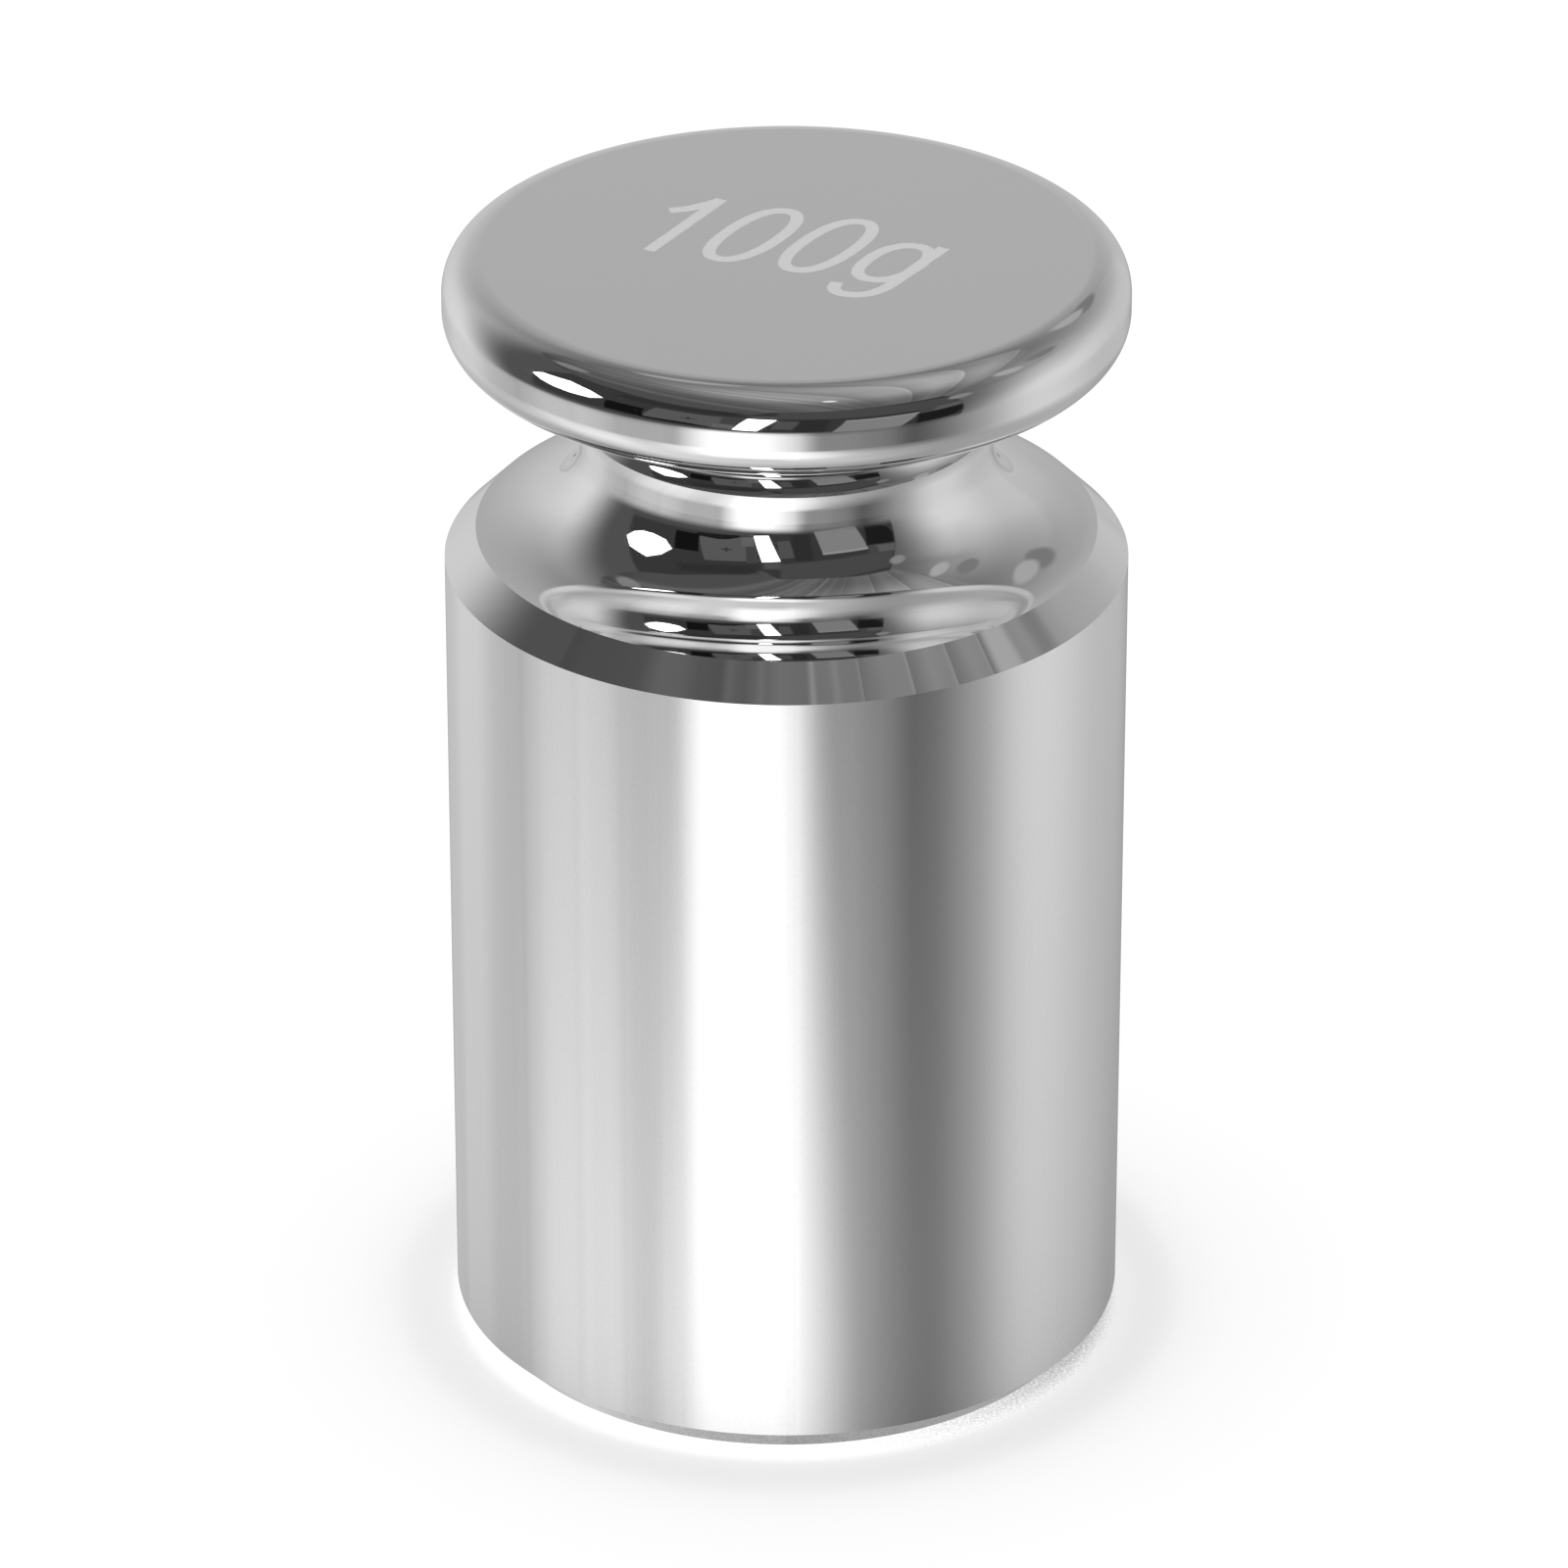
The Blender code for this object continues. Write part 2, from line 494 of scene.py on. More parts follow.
@dataclass
class MassMark:
    """The nominal mass in plain slanted figures, as cutters for the engraving.

    Centre lines are in millimetres, before they are slanted and turned.
    """

    turn: float = math.radians(-18.0)
    slant: float = math.tan(math.radians(11.8))
    width: float = 0.43
    smoothing: int = 6
    ring_steps: int = 72
    ring_power: float = 2.32
    above: float = 0.05
    figure_one: tuple = (
        ((-3.90, -1.31), (-3.90, 3.22)),
        ((-4.93, 1.86), (-4.48, 2.18), (-4.14, 2.66), (-3.90, 3.10)))
    noughts: tuple = ((-1.58, 0.88), (0.96, 0.825))
    nought_half: Point = (0.86, 2.08)
    bowl: Point = (3.44, 0.21)
    bowl_half: Point = (0.84, 1.43)
    stem: tuple = (
        (4.30, 1.79), (4.27, 1.00), (4.24, 0.00), (4.22, -0.90), (4.18, -1.60),
        (4.02, -2.12), (3.74, -2.42), (3.35, -2.53), (3.00, -2.46), (2.74, -2.22),
        (2.60, -1.74))

    def oval(self, centre: Point, half: Point) -> list[Point]:
        """Return a closed centre line with flat sides, anticlockwise."""
        points = []
        for index in range(self.ring_steps):
            angle = math.tau * index / self.ring_steps
            reach = [math.copysign(abs(part) ** (2.0 / self.ring_power), part)
                     for part in (math.cos(angle), math.sin(angle))]
            points.append((centre[0] + half[0] * reach[0],
                           centre[1] + half[1] * reach[1]))
        return points

    def smoothed(self, points: tuple) -> list[Point]:
        """Return an open centre line that runs smoothly through its points."""
        if len(points) < 3:
            return list(points)
        ends = [points[0], *points, points[-1]]
        line = []
        for before, start, end, after in zip(ends, ends[1:], ends[2:], ends[3:]):
            for step in range(self.smoothing):
                share = step / self.smoothing
                line.append(tuple(
                    0.5 * (2 * b + (c - a) * share
                           + (2 * a - 5 * b + 4 * c - d) * share ** 2
                           + (3 * b - a - 3 * c + d) * share ** 3)
                    for a, b, c, d in zip(before, start, end, after)))
        line.append(points[-1])
        return line

    def placed(self, point: Point) -> Vector:
        """Slant and turn a point of the lettering, and give it in metres."""
        across = point[0] + point[1] * self.slant
        cosine, sine = math.cos(self.turn), math.sin(self.turn)
        return Vector(((across * cosine - point[1] * sine) * MM,
                       (across * sine + point[1] * cosine) * MM))

    def strokes(self) -> list[tuple[list[Point], Stroke]]:
        """Return every stroke's centre line, and how the stroke ends."""
        one = [(self.smoothed(line), Stroke.OPEN) for line in self.figure_one]
        rings = [(self.oval(centre, self.nought_half), Stroke.CLOSED)
                 for centre in self.noughts]
        return [*one, *rings,
                (self.oval(self.bowl, self.bowl_half), Stroke.CLOSED),
                (self.smoothed(self.stem), Stroke.OPEN)]

    def ribbon(self, mesh: bmesh.types.BMesh, line: list[Point], kind: Stroke,
               low: float, high: float) -> None:
        """Add one stroke as a closed upright bar.

        Args:
            mesh: The mesh that takes it.
            line: The stroke's centre line, before it is slanted.
            kind: Whether the stroke runs back into its own start.
            low: Height of the bar's lower side, in metres.
            high: Height of its upper side, in metres.
        """
        centre = [self.placed(point) for point in line]
        closed = kind is Stroke.CLOSED
        half = self.width * MM / 2
        last = len(centre) - 1
        rings = []
        for index, here in enumerate(centre):
            before = centre[index - 1] if closed or index > 0 else here
            after = centre[(index + 1) % (last + 1)] if closed or index < last else here
            run = (after - before).normalized()
            side = Vector((-run.y, run.x)) * half
            left, right = here + side, here - side
            rings.append([mesh.verts.new((spot.x, spot.y, height)) for spot, height in (
                (left, low), (right, low), (right, high), (left, high))])
        pairs = list(zip(rings, rings[1:]))
        if closed:
            pairs.append((rings[-1], rings[0]))
        else:
            mesh.faces.new(rings[0])
            mesh.faces.new(rings[-1][::-1])
        for ring, following in pairs:
            for corner in range(4):
                beside = (corner + 1) % 4
                mesh.faces.new((ring[beside], ring[corner],
                                following[corner], following[beside]))

    def cutters(self, surface: float, depth: float) -> bpy.types.Object:
        """Build every stroke as one cutter that reaches into the top face.

        Args:
            surface: Height of the face that is engraved.
            depth: How deep the strokes go.

        Returns:
            An object that is used up by the engraving.
        """
        mesh = bmesh.new()
        for line, kind in self.strokes():
            self.ribbon(mesh, line, kind, surface - depth, surface + self.above * MM)
        bmesh.ops.recalc_face_normals(mesh, faces=mesh.faces)
        return linked("mass_mark_cutters", plain_mesh("mass_mark_cutters", mesh))


class TurningTree:
    """Geometry Nodes that turn an outline round Z and engrave the top."""

    INPUTS = (
        ("Outline", "Geometry"), ("Turn steps", "Int"), ("Top radius", "Float"),
        ("Top height", "Float"), ("Foot radius", "Float"), ("Cutters", "Object"),
        ("Engraving depth", "Float"), ("Sharp angle", "Float"),
        ("Merge distance", "Float"), ("Polished", "Material"), ("Etched", "Material"))
    ENGRAVED_SHARES = (0.25, 1.5)

    def __init__(self) -> None:
        """Make the empty tree with its named inputs."""
        self.tree = bpy.data.node_groups.new("turn_and_engrave", "GeometryNodeTree")
        self.bench = Bench(self.tree)
        self.inputs = {name: self._socket(name, "INPUT", kind)
                       for name, kind in self.INPUTS}
        self._socket("Weight", "OUTPUT", "Geometry")
        given = self.bench.node("NodeGroupInput")
        self.given = {name: Field(self.bench, given.outputs[name])
                      for name in self.inputs}

    def _socket(self, name: str, side: str, kind: str) -> str:
        """Add a named input or output and return its identifier."""
        made = self.tree.interface.new_socket(
            name=name, in_out=side, socket_type=f"NodeSocket{kind}")
        return made.identifier

    def turned_wall(self) -> Field:
        """Wrap a grid round the axis, with the outline along each column."""
        add = self.bench.field
        steps, outline = self.given["Turn steps"], self.given["Outline"]
        rows = add("GeometryNodeAttributeDomainSize", {0: outline}, "Point Count")
        grid = add("GeometryNodeMeshGrid", {"Vertices X": steps + 1.0,
                                            "Vertices Y": rows})
        index = add("GeometryNodeInputIndex")
        column = ((index + 0.5) / rows).math("FLOOR")
        sample = add("GeometryNodeSampleIndex", {
            "Geometry": outline, "Value": add("GeometryNodeInputPosition"),
            "Index": index - column * rows}, data_type="FLOAT_VECTOR", domain="POINT")
        radius, _, height = self.bench.parts(sample)
        angle = column / steps * math.tau
        place = add("ShaderNodeCombineXYZ", {0: radius * angle.math("COSINE"),
                                             1: radius * angle.math("SINE"), 2: height})
        return add("GeometryNodeSetPosition", {"Geometry": grid, "Position": place})

    def disc(self, radius: str, height: str | None) -> Field:
        """Close one end with a flat disc.

        Args:
            radius: The input that gives its radius.
            height: The input that gives its height, or nothing for the foot.

        Returns:
            The disc, which faces outwards.
        """
        add = self.bench.field
        circle = add("GeometryNodeMeshCircle", {
            "Vertices": self.given["Turn steps"], "Radius": self.given[radius]},
            fill_type="NGON")
        if height is None:
            return add("GeometryNodeFlipFaces", {0: circle})
        lift = add("ShaderNodeCombineXYZ", {2: self.given[height]})
        return add("GeometryNodeTransform", {"Geometry": circle, "Translation": lift})

    def engraved(self, solid: Field) -> Field:
        """Cut the lettering out of the closed solid."""
        add = self.bench.field
        held = add("GeometryNodeObjectInfo", {"Object": self.given["Cutters"]},
                   "Geometry", transform_space="ORIGINAL")
        joined = add("GeometryNodeMeshBoolean", {
            "Mesh 2": held, "Self Intersection": True},
            operation="UNION", solver="EXACT")
        return add("GeometryNodeMeshBoolean", {"Mesh 1": solid, "Mesh 2": joined},
                   operation="DIFFERENCE", solver="EXACT")

    def shaded(self, solid: Field) -> Field:
        """Shade the solid smooth, and leave its real edges sharp."""
        add = self.bench.field
        smooth = add("GeometryNodeSetShadeSmooth", {
            "Geometry": solid, "Shade Smooth": True}, domain="FACE")
        angle = add("GeometryNodeInputMeshEdgeAngle", output="Unsigned Angle")
        sharp = add("FunctionNodeCompare", {0: angle, 1: self.given["Sharp angle"]},
                    data_type="FLOAT", operation="GREATER_THAN")
        return add("GeometryNodeSetShadeSmooth", {
            "Geometry": smooth, "Selection": sharp, "Shade Smooth": False},
            domain="EDGE")

    def in_engraving(self) -> Field:
        """Select the faces inside the flat and between two shares of the depth."""
        x, y, z = self.bench.parts(self.bench.field("GeometryNodeInputPosition"))
        top, depth = self.given["Top height"], self.given["Engraving depth"]
        shallow, deep = (top - depth * share for share in self.ENGRAVED_SHARES)
        inside = distance(x, y).math("LESS_THAN", self.given["Top radius"])
        return z.math("LESS_THAN", shallow) * z.math("GREATER_THAN", deep) * inside

    def build(self) -> bpy.types.NodeTree:
        """Join every step and return the finished tree."""
        add = self.bench.field
        joined = self.bench.node("GeometryNodeJoinGeometry")
        for part in (self.turned_wall(), self.disc("Top radius", "Top height"),
                     self.disc("Foot radius", None)):
            self.tree.links.new(part.socket, joined.inputs[0])
        merged = add("GeometryNodeMergeByDistance", {
            "Geometry": Field(self.bench, joined.outputs[0]),
            "Distance": self.given["Merge distance"]})
        real = add("GeometryNodeRealizeInstances", {
            0: self.shaded(self.engraved(merged))})
        polished = add("GeometryNodeSetMaterial", {
            "Geometry": real, "Material": self.given["Polished"]})
        etched = add("GeometryNodeSetMaterial", {
            "Geometry": polished, "Selection": self.in_engraving(),
            "Material": self.given["Etched"]})
        self.bench.node("NodeGroupOutput", {0: etched})
        return self.tree


@dataclass
class TurnedWeight:
    """The weight itself: one solid with its engraved mark."""

    outline: WeightOutline = field(default_factory=WeightOutline)
    mark: MassMark = field(default_factory=MassMark)
    polish: PolishedSteel = PolishedSteel()
    etch: EtchedSteel = EtchedSteel()
    turn_steps: int = 512
    engraving_depth: float = 0.012 * MM
    sharp_angle: float = math.radians(25.0)
    merge_distance: float = 0.001 * MM

    def turned(self, cutter: bpy.types.Object) -> bpy.types.Object:
        """Turn, engrave and dress the outline, and return it as a plain mesh."""
        points = self.outline.points()
        data = bpy.data.meshes.new("weight_turned")
        data.from_pydata([(radius, 0.0, height) for radius, height in points], [], [])
        piece = linked("weight_turned", data)
        turning = TurningTree()
        modifier = piece.modifiers.new("turn", "NODES")
        modifier.node_group = turning.build()
        given = {
            "Turn steps": self.turn_steps,
            "Top radius": points[0][0],
            "Top height": self.outline.levels()[-1],
            "Foot radius": points[-1][0],
            "Cutters": cutter,
            "Engraving depth": self.engraving_depth,
            "Sharp angle": self.sharp_angle,
            "Merge distance": self.merge_distance,
            "Polished": self.polish.material(),
            "Etched": self.etch.material(),
        }
        for name, value in given.items():
            modifier[turning.inputs[name]] = value
        graph = bpy.context.evaluated_depsgraph_get()
        mesh = bpy.data.meshes.new_from_object(piece.evaluated_get(graph))
        piece.modifiers.clear()
        piece.data = mesh
        mesh.name = piece.name
        return piece

    def build(self) -> bpy.types.Object:
        """Build and dress the weight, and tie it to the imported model."""
        cutter = self.mark.cutters(self.outline.levels()[-1], self.engraving_depth)
        piece = self.turned(cutter)
        bpy.data.objects.remove(cutter, do_unlink=True)
        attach(piece, "root")
        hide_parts("weight_body")
        LOG.info("%s: %d faces", piece.name, len(piece.data.polygons))
        return piece


# The studio.


@dataclass(frozen=True)
class Patch:
    """A flat thing in the studio, its corners as azimuth and elevation."""

    name: str
    corners: tuple[Point, ...]
    level: float
    soft: float = 0.7

    def mask(self, azimuth: Field, elevation: Field) -> Field:
        """Return 1 inside the patch and 0 outside it, with soft edges."""
        following = self.corners[1:] + self.corners[:1]
        area = sum(a[0] * b[1] - b[0] * a[1] for a, b in zip(self.corners, following))
        turn = math.copysign(1.0, area) / self.soft
        inside = None
        for start, end in zip(self.corners, following):
            run = (end[0] - start[0], end[1] - start[1])
            size = math.hypot(*run)
            across, up = -run[1] / size * turn, run[0] / size * turn
            offset = 0.5 - across * start[0] - up * start[1]
            edge = azimuth.scaled(across, elevation.scaled(up, offset))
            inside = edge if inside is None else inside.minimum(edge)
        return inside.eased().named(self.name)


@dataclass(frozen=True)
class Glow:
    """A round or oval area of light with a soft edge."""

    centre: Point
    reach: Point
    level: float
    soft: float = 0.4

    def mask(self, azimuth: Field, elevation: Field) -> Field:
        """Return 1 in the middle of the glow and 0 outside it."""
        away = distance(azimuth.past(self.centre[0], self.reach[0]),
                        elevation.past(self.centre[1], self.reach[1]))
        return away.past(1.0, -self.soft).eased()


@dataclass(frozen=True)
class Sweep:
    """A band of light or shade in a range of azimuth, soft at both sides."""

    start: float
    end: float
    level: float
    soft_start: float
    soft_end: float

    def mask(self, azimuth: Field) -> Field:
        """Return 1 between the two azimuths and 0 well outside them."""
        return (azimuth.edge(self.start, self.soft_start)
                * azimuth.edge(self.end, -self.soft_end))


@dataclass(frozen=True)
class Beam:
    """A band of light whose sides run evenly from one elevation to a lower one."""

    above: Sweep
    below: Sweep
    high: float
    low: float
    fades: float
    ends: float

    def mask(self, azimuth: Field, elevation: Field) -> Field:
        """Return 1 inside the band and 0 well outside it."""
        share = elevation.past(self.high, self.low - self.high).clamped()
        start, end, soft_start, soft_end = (
            share.scaled(getattr(self.below, part) - getattr(self.above, part),
                         getattr(self.above, part))
            for part in ("start", "end", "soft_start", "soft_end"))
        rise = (azimuth - start) / soft_start + 0.5
        fall = (end - azimuth) / soft_end + 0.5
        left = elevation.past(self.ends, self.fades - self.ends).clamped()
        return rise.eased() * fall.eased() * left


def seen(level: float) -> float:
    """Return the light that shows as a display level after one reflection."""
    return display_to_linear(level) / PolishedSteel.reflectance


def swept(azimuth: Field, level: float, sweeps: tuple[Sweep, ...]) -> Field:
    """Lay bands of light over an even level, the last one on top."""
    light = azimuth.scaled(0.0, seen(level))
    for sweep in sweeps:
        light = light.towards(seen(sweep.level), sweep.mask(azimuth))
    return light


@dataclass(frozen=True)
class Walls:
    """The dark wall in front and the white paper that curves round the sides.

    The light falls off upwards, in its own way at the left, right and back. The
    sides of the dark wall lean as they rise.
    """

    level: float = 191
    sweeps: tuple[Sweep, ...] = (
        Sweep(68, 116, 211, 40, 40),
        Sweep(-154, -105, 213, 44, 20),
        Sweep(157, 174, 184, 6, 6))
    side_fall: Stops = (
        (-12, 1), (0, 0.98), (8, 0.92), (20, 0.71), (36, 0.46), (52, 0.25))
    right_fall: Stops = (
        (-12, 1), (-3, 0.985), (2, 0.912), (10, 0.80), (18, 0.69), (24, 0.60),
        (30, 0.425), (36, 0.41), (52, 0.25))
    right_side: Sweep = Sweep(60, 110, 0, 20, 20)
    back_fall: Stops = (
        (-12, 1), (8, 0.95), (20, 0.86), (28, 0.718), (40, 0.60), (45, 0.40),
        (52, 0.36))
    back_edge: float = 161
    back_soft: float = 30
    left_dark: Sweep = Sweep(-114, 0, 78, 36, 4)
    left_lean: float = -0.2
    right_dark: Sweep = Sweep(0, 70.5, 92, 4, 40)
    right_lean: float = 0.2
    front: Sweep = Sweep(-88.5, 58, 54, 3, 1)
    lean_from: float = -12

    def light(self, azimuth: Field, elevation: Field, bench: Bench) -> Field:
        """Return the walls' light."""
        side, right, back = (bench.ramp(elevation, stops) for stops in (
            self.side_fall, self.right_fall, self.back_fall))
        behind = azimuth.math("ABSOLUTE").edge(self.back_edge, self.back_soft)
        fall = side.towards(right, self.right_side.mask(azimuth)).towards(back, behind)
        light = swept(azimuth, self.level, self.sweeps) * fall
        for sweep, lean in ((self.left_dark, self.left_lean),
                            (self.right_dark, self.right_lean)):
            leaned = elevation.scaled(-lean, azimuth + lean * self.lean_from)
            light = light.towards(seen(sweep.level), sweep.mask(leaned))
        return light.towards(seen(self.front.level), self.front.mask(azimuth))


@dataclass(frozen=True)
class Ceiling:
    """The ribbed ceiling, drawn on its own plane.

    Places on the plane are in ceiling heights: the first number runs across the
    ribs and the second along them. An edge is a place and the width that it is
    soft over. The front and the back end in how much they darken. The ribs'
    shade and lip are a strength and how fast it fades. A line is a place, a
    width and a change.
    """

    turn: float = 31
    lowest: float = 20
    stops: Stops = (
        (-1.4, 76), (-0.84, 75), (-0.75, 78), (-0.69, 96), (-0.63, 94), (-0.58, 84),
        (-0.5, 80), (-0.47, 94), (-0.42, 87), (-0.36, 102), (-0.33, 98), (-0.285, 107),
        (-0.24, 101), (-0.185, 96), (-0.15, 107), (-0.07, 109), (0.055, 114),
        (0.075, 130), (0.3, 129), (0.45, 136), (0.52, 132), (0.73, 139), (0.8, 135),
        (1.3, 130))
    front: tuple[Point, Point, float] = ((0.70, 0.5), (-0.2, 0.5), 0.42)
    back: tuple[float, float, float] = (-0.6154, -0.3846, 0.25)
    rib_pitch: float = 0.255
    rib_start: float = 0.318
    rib_edge: Point = (-0.1, 0.125)
    rib_shade: Point = (0.29, 2.2)
    rib_lip: Point = (0.25, 12)
    lines: Lines = (
        (-0.36, 0.02, 0.1), (-0.158, 0.022, 0.5), (-0.055, 0.03, 0.2),
        (-0.48, 0.03, 0.12))
    glows: tuple[Glow, ...] = (
        Glow((0.40, 0.08), (0.50, 0.62), 168, 0.8),
        Glow((0.00, 0.06), (0.44, 0.60), 147, 0.8))

    def light(self, azimuth: Field, elevation: Field, bench: Bench) -> Field:
        """Return the ceiling's light, with its ribs."""
        radian = math.radians(1.0)
        slope = (elevation.maximum(self.lowest) * radian).math("TANGENT")
        turned = (azimuth - self.turn) * radian
        across = turned.math("SINE") / slope
        along = turned.math("COSINE") / slope
        stops = tuple((at, seen(level)) for at, level in self.stops)
        light = bench.ramp(across, stops)
        near, side, shade = self.front
        light = light * (1.0 - along.edge(*near) * across.edge(*side) * shade)
        light = light * along.edge(*self.back[:2]).scaled(-self.back[2], 1.0)
        for glow in self.glows:
            light = light.towards(seen(glow.level), glow.mask(across, along))
        for place, width, change in self.lines:
            light = light * across.line(place, width).scaled(change, 1.0)
        phase = across.past(self.rib_start, self.rib_pitch).math("FRACT")
        (dark, fade), (lit, rise) = self.rib_shade, self.rib_lip
        rib = (phase.scaled(rise, 1.0 - rise).clamped() * lit
               - phase.scaled(-fade, 1.0).clamped() * dark)
        return light * (1.0 + rib * across.edge(*self.rib_edge))


@dataclass(frozen=True)
class LitFloor:
    """The white floor as the metal shows it, in rings round the foot.

    A ring is an elevation, an even level and the bands of light on it. A streak
    is an azimuth, a width and a change.
    """

    rings: tuple[tuple[float, float, tuple[Sweep, ...]], ...] = (
        (-24, 188, (
            Sweep(-151, -122, 208, 24, 17.5), Sweep(-110.5, -93, 168, 25.5, 22.5),
            Sweep(-63.5, -35.5, 163, 14, 5), Sweep(6.5, 35.5, 123, 10.5, 21),
            Sweep(32.5, 63, 62, 24, 54), Sweep(81.5, 114, 211, 25.5, 32),
            Sweep(161, 181, 160, 25, 1), Sweep(-181, -170, 172, 1, 5))),
        (-31, 183, (
            Sweep(-148, -124, 192, 6.5, 11.5), Sweep(-95.5, -53, 220, 27.5, 14.5),
            Sweep(-54, -39, 209, 33, 8.5), Sweep(17, 49, 160, 40, 37),
            Sweep(37.5, 65.5, 82, 39.5, 80), Sweep(83, 108, 198, 37, 40),
            Sweep(137, 181, 155, 42.5, 1), Sweep(-181, -170, 165, 1, 5))),
        (-42, 168, (
            Sweep(-94.5, -48, 250, 100, 10), Sweep(-65, -33, 215, 32, 32),
            Sweep(-1, 25, 220, 6, 48), Sweep(45, 81.5, 144, 60, 44),
            Sweep(-190, -160, 206, 4, 12))),
        (-64, 166, (
            Sweep(-130, -100, 140, 40, 30), Sweep(-83, 29, 212, 69, 160),
            Sweep(60, 125, 150, 50, 40))),
        (-88, 158, ()))
    streaks: Lines = (
        (-168, 3, -0.06), (-101, 3, -0.05), (-89.5, 5.5, 0.02), (-76, 2.4, -0.03),
        (-72, 3, 0.025), (-62.5, 6, 0.03), (-58, 2, -0.03), (-35, 4, -0.03),
        (4, 2, 0.04), (169, 4, -0.06))
    unevenness: float = 0.06
    unevenness_scale: float = 0.9
    unevenness_start: float = 700
    brightness: float = 1.015
    far_edge: float = -26.2
    far_shade: float = 0.05
    strip: Beam = Beam(Sweep(-29.5, -1.6, 268, 15.2, 23.5),
                       Sweep(-36.4, 9.9, 268, 24.9, 33.2), -24, -31, -46, -58)

    def light(self, azimuth: Field, elevation: Field, bench: Bench) -> Field:
        """Return the floor's light."""
        light, last = None, 0.0
        for height, level, sweeps in self.rings:
            ring = swept(azimuth, level, sweeps)
            if light is None:
                light = ring
            else:
                share = elevation.past(last, height - last).clamped()
                light = light.towards(ring, share)
            last = height
        light = light.towards(seen(self.strip.above.level),
                              self.strip.mask(azimuth, elevation))
        along = azimuth.scaled(self.unevenness_scale, self.unevenness_start)
        uneven = bench.line_noise(along, detail=2.0, roughness=0.6)
        shade = uneven * self.unevenness + self.brightness
        for place, width, change in self.streaks:
            shade = shade + azimuth.line(place, width) * change
        far = (elevation - self.far_edge).clamped()
        return light * shade * far.scaled(-self.far_shade, 1.0)


@dataclass(frozen=True)
class StudioLight:
    """How bright the studio is in each direction from the weight."""

    walls: Walls = Walls()
    ceiling: Ceiling = Ceiling()
    floor: LitFloor = LitFloor()
    wall_top: Stops = (
        (-180, 49), (-142, 53), (-120, 44), (-88, 40), (-65, 40), (-30, 35.5),
        (-21, 34.5), (-15, 29.5), (-12, 30), (-5, 39), (40, 38.5), (60, 34), (70, 38),
        (84, 42), (98, 45), (115, 47), (180, 47))
    wall_top_slope: float = 0.6
    floor_edge: float = -18.261
    floor_soft: float = 8.696
    patches: tuple[Patch, ...] = (
        Patch("skirting", ((-90, -10.5), (-17, -11), (-17, -20), (-90, -20)), 72, 4),
        Patch("dark above screens", ((-60, 36), (-16, 34), (-16, 24),
              (-60, 28)), 46, 6),
        Patch("left screen", ((-43.5, 21.5), (-15, 19), (-17.5, -10.5),
              (-46.5, -5)), 86),
        Patch("left screen inset", ((-23.5, 1), (-17, 1), (-17, -10), (-23.5, -9)), 96),
        Patch("cross, upright", ((-31.8, 4.2), (-30.9, 4.2), (-30.9, 9.8),
              (-31.8, 9.8)), 46),
        Patch("cross, level", ((-34, 6.4), (-28.4, 6), (-28.4, 7.2), (-34, 7.6)), 46),
        Patch("gap beside strip", ((-21, 22), (-15, 21), (-16.5, 1), (-21, 2)), 66),
        Patch("slanted bar", ((-48, -5.6), (-36, -4.2), (-30.5, -5.4), (-24.5, -8.8),
              (-25, -11), (-48, -9)), 28),
        Patch("dark door", ((-60, 13), (-46.5, 13), (-46.5, -7), (-60, -7)), 18),
        Patch("board right of strip", ((-3, 15), (4.5, 14), (1.5, -7), (-5, -6)), 78),
        Patch("dark edge by strip", ((4.5, 18), (14, 18), (12, -14), (2, -14)), 45, 2),
        Patch("high band", ((-3, 40), (33, 39), (45, 35.5), (57, 31.5), (57, 12),
              (-3, 22)), 70, 3),
        Patch("high column", ((-12, 28), (-3, 28), (-3, 20), (-12, 20)), 78, 3),
        Patch("right screen", ((19, 11.5), (43, 9), (37, -20), (14.5, -17)), 125),
        Patch("right screen's lit edge", ((19, 11.5), (43, 9), (42.6, 6.5),
              (18.6, 9)), 140),
        Patch("wall above stand", ((43.5, 4.5), (58, 5), (58, 16),
              (43.5, 16)), 68, 1.5),
        Patch("board above stand", ((47.5, 6), (58, 7), (58, 14), (49.5, 14)), 88, 2),
        Patch("dark stand", ((42, 4.6), (57.8, 5.2), (57.5, -5), (55, -13), (50, -17),
              (42, -19.5)), 27, 1.6),
        Patch("strip box", ((-12.6, 19.7), (-3.2, 18.3), (-9.6, -12.7),
              (-17.2, -11.7)), 400),
        Patch("eight-sided box", ((-78.2, 26.1), (-68.6, 21.8), (-61.7, 14.1),
              (-65.4, 5.8), (-73.1, 2.3), (-79.8, 2.1), (-85.2, 4.7), (-89.7, 10),
              (-87.8, 19)), 400))
    glows: tuple[Glow, ...] = (
        Glow((60.5, 25), (5.5, 5.5), 130),
        Glow((91, 39), (7, 7), 162),
        Glow((110, 38), (9, 6.5), 118),
        Glow((154, 31.5), (11, 4), 118),
        Glow((152, 36.5), (9.5, 4.5), 162),
        Glow((-105, 49.5), (9, 5.5), 124),
        Glow((-165, 58), (11, 5.5), 157),
        Glow((25, 67.4), (5, 2.6), 235))

    def strength(self, azimuth: Field, elevation: Field, bench: Bench) -> Field:
        """Return the light of the whole studio in a direction."""
        light = self.walls.light(azimuth, elevation, bench)
        above = elevation - bench.ramp(azimuth, self.wall_top)
        light = light.towards(self.ceiling.light(azimuth, elevation, bench),
                              (above * self.wall_top_slope).eased())
        for shape in (*self.patches, *self.glows):
            light = light.towards(seen(shape.level), shape.mask(azimuth, elevation))
        return light.towards(self.floor.light(azimuth, elevation, bench),
                             elevation.edge(self.floor_edge, -self.floor_soft))


